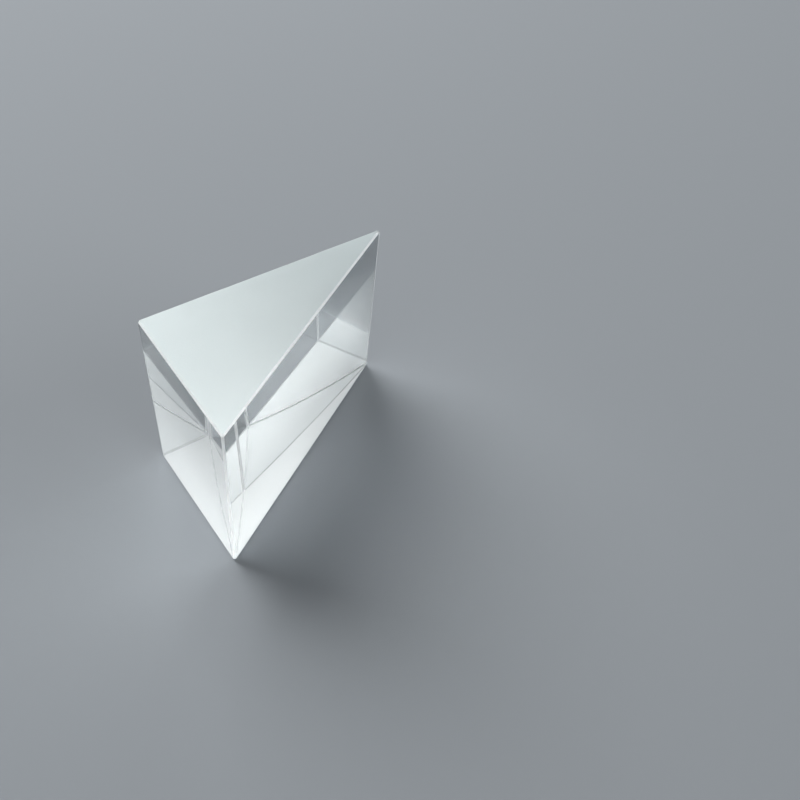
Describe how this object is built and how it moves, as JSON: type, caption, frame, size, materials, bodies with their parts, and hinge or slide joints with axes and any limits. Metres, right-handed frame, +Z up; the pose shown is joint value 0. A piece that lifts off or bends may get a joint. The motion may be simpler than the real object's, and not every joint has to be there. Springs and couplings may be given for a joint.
{
  "type": "right angle prism",
  "caption": "Triangular glass prism with 30, 60 and 90 degree angles, polished short leg and hypotenuse, ground ends, and a mirrored long leg under black paint.",
  "frame": {"origin": "middle of the part's box in X and Y, on the plane of the ground end it stands on", "axes": "+Z up along the height between the two ground ends; +X along the long leg, from the right angle to the sharp 30 degree edge; +Y out of the painted back, with the hypotenuse facing the front"},
  "size_m": [0.0254, 0.015, 0.02],
  "materials": {
    "optical_glass": "polished on the short leg and the hypotenuse, finely ground on both ends and every bevel, mirror film on the long leg",
    "black_paint": "smooth satin black protective paint over the mirror film, with a hand-finished edge"
  },
  "bodies": {
    "root": {"prism_glass": "optical_glass", "back_paint": "black_paint"}
  },
  "joints": []
}
